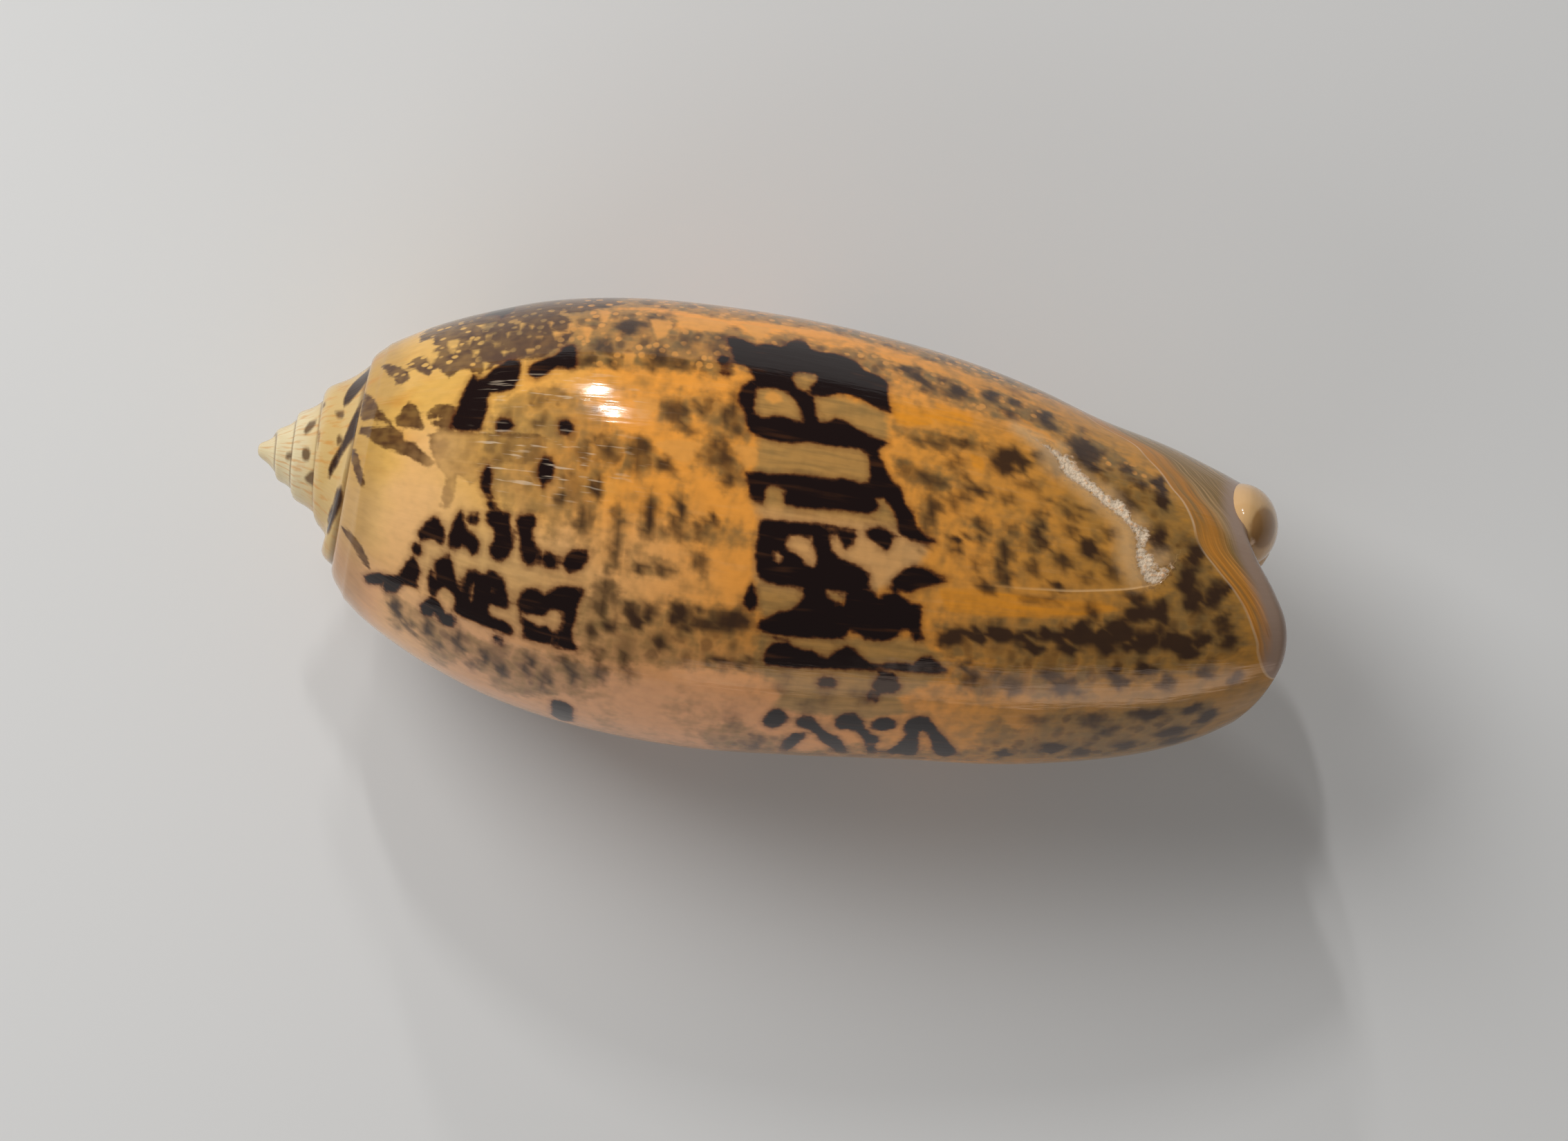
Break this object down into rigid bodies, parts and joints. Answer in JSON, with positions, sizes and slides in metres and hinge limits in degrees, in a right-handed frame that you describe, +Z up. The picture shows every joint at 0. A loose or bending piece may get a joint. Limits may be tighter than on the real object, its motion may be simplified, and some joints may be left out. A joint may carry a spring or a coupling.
{
  "type": "olive shell",
  "caption": "Glossy olive shell with a low pointed spire, a long body whorl, a slit aperture under the outer lip and a notched front end. Rests aperture down.",
  "frame": {"origin": "bottom centre of the bounding box, on the surface the shell rests on", "axes": "+X along the coil axis from the apex to the front end, +Y towards the columella side, +Z up through the back of the shell"},
  "size_m": [0.0646, 0.0274, 0.0252],
  "materials": {
    "shell": "naturally polished, yellow to orange ground with dark brown mottling"
  },
  "bodies": {
    "root": {"olive_shell": "shell"}
  },
  "joints": []
}
